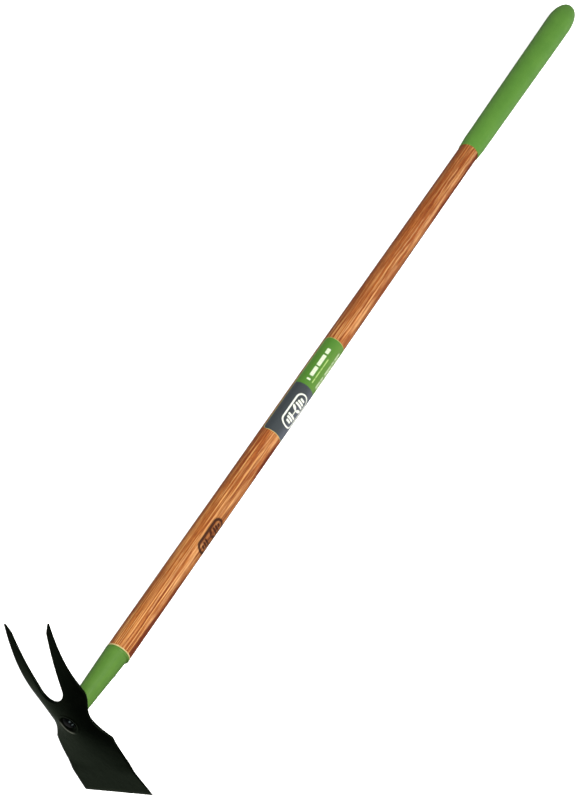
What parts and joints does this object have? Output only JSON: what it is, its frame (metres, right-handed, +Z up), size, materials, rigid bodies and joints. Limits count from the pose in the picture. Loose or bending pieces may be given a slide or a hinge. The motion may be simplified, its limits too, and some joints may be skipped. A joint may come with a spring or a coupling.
{
  "type": "grub hoe",
  "caption": "Long-handled grub hoe: one head with a flared blade and two curved prongs, riveted on a tang in a tapered ferrule, with a round wood handle and a soft end grip.",
  "frame": {"origin": "on the ground, at the centre of the lying tool's bounding box", "axes": "+X level, along the handle from the head towards the grip (the handle itself dips 1.2 degrees towards its grip end, where it touches the ground), +Y towards the side the prongs point to (the blade points to -Y), +Z up from the ground; the tool lies on its side on a blade corner, one prong and the grip"},
  "size_m": [1.4554, 0.2384, 0.1154],
  "materials": {
    "head_paint": "satin black paint over forged steel, worn at the cutting edge and the prong tips",
    "rivet_steel": "dark, partly painted steel",
    "ferrule_paint": "semi-gloss green paint",
    "pin_steel": "zinc plated",
    "glue": "cured cream adhesive",
    "handle_wood": "stained ring-porous hardwood under satin lacquer",
    "label_film": "thin printed film, grey and green",
    "grip_foam": "matt green closed-cell foam"
  },
  "bodies": {
    "root": {"hoe_head": "head_paint", "tang": "rivet_steel", "rivet_washer": "rivet_steel", "ferrule": "ferrule_paint", "ferrule_pin": "pin_steel", "glue_bead": "glue", "wood_handle": "handle_wood", "handle_label": "label_film", "cushion_grip": "grip_foam"}
  },
  "joints": []
}
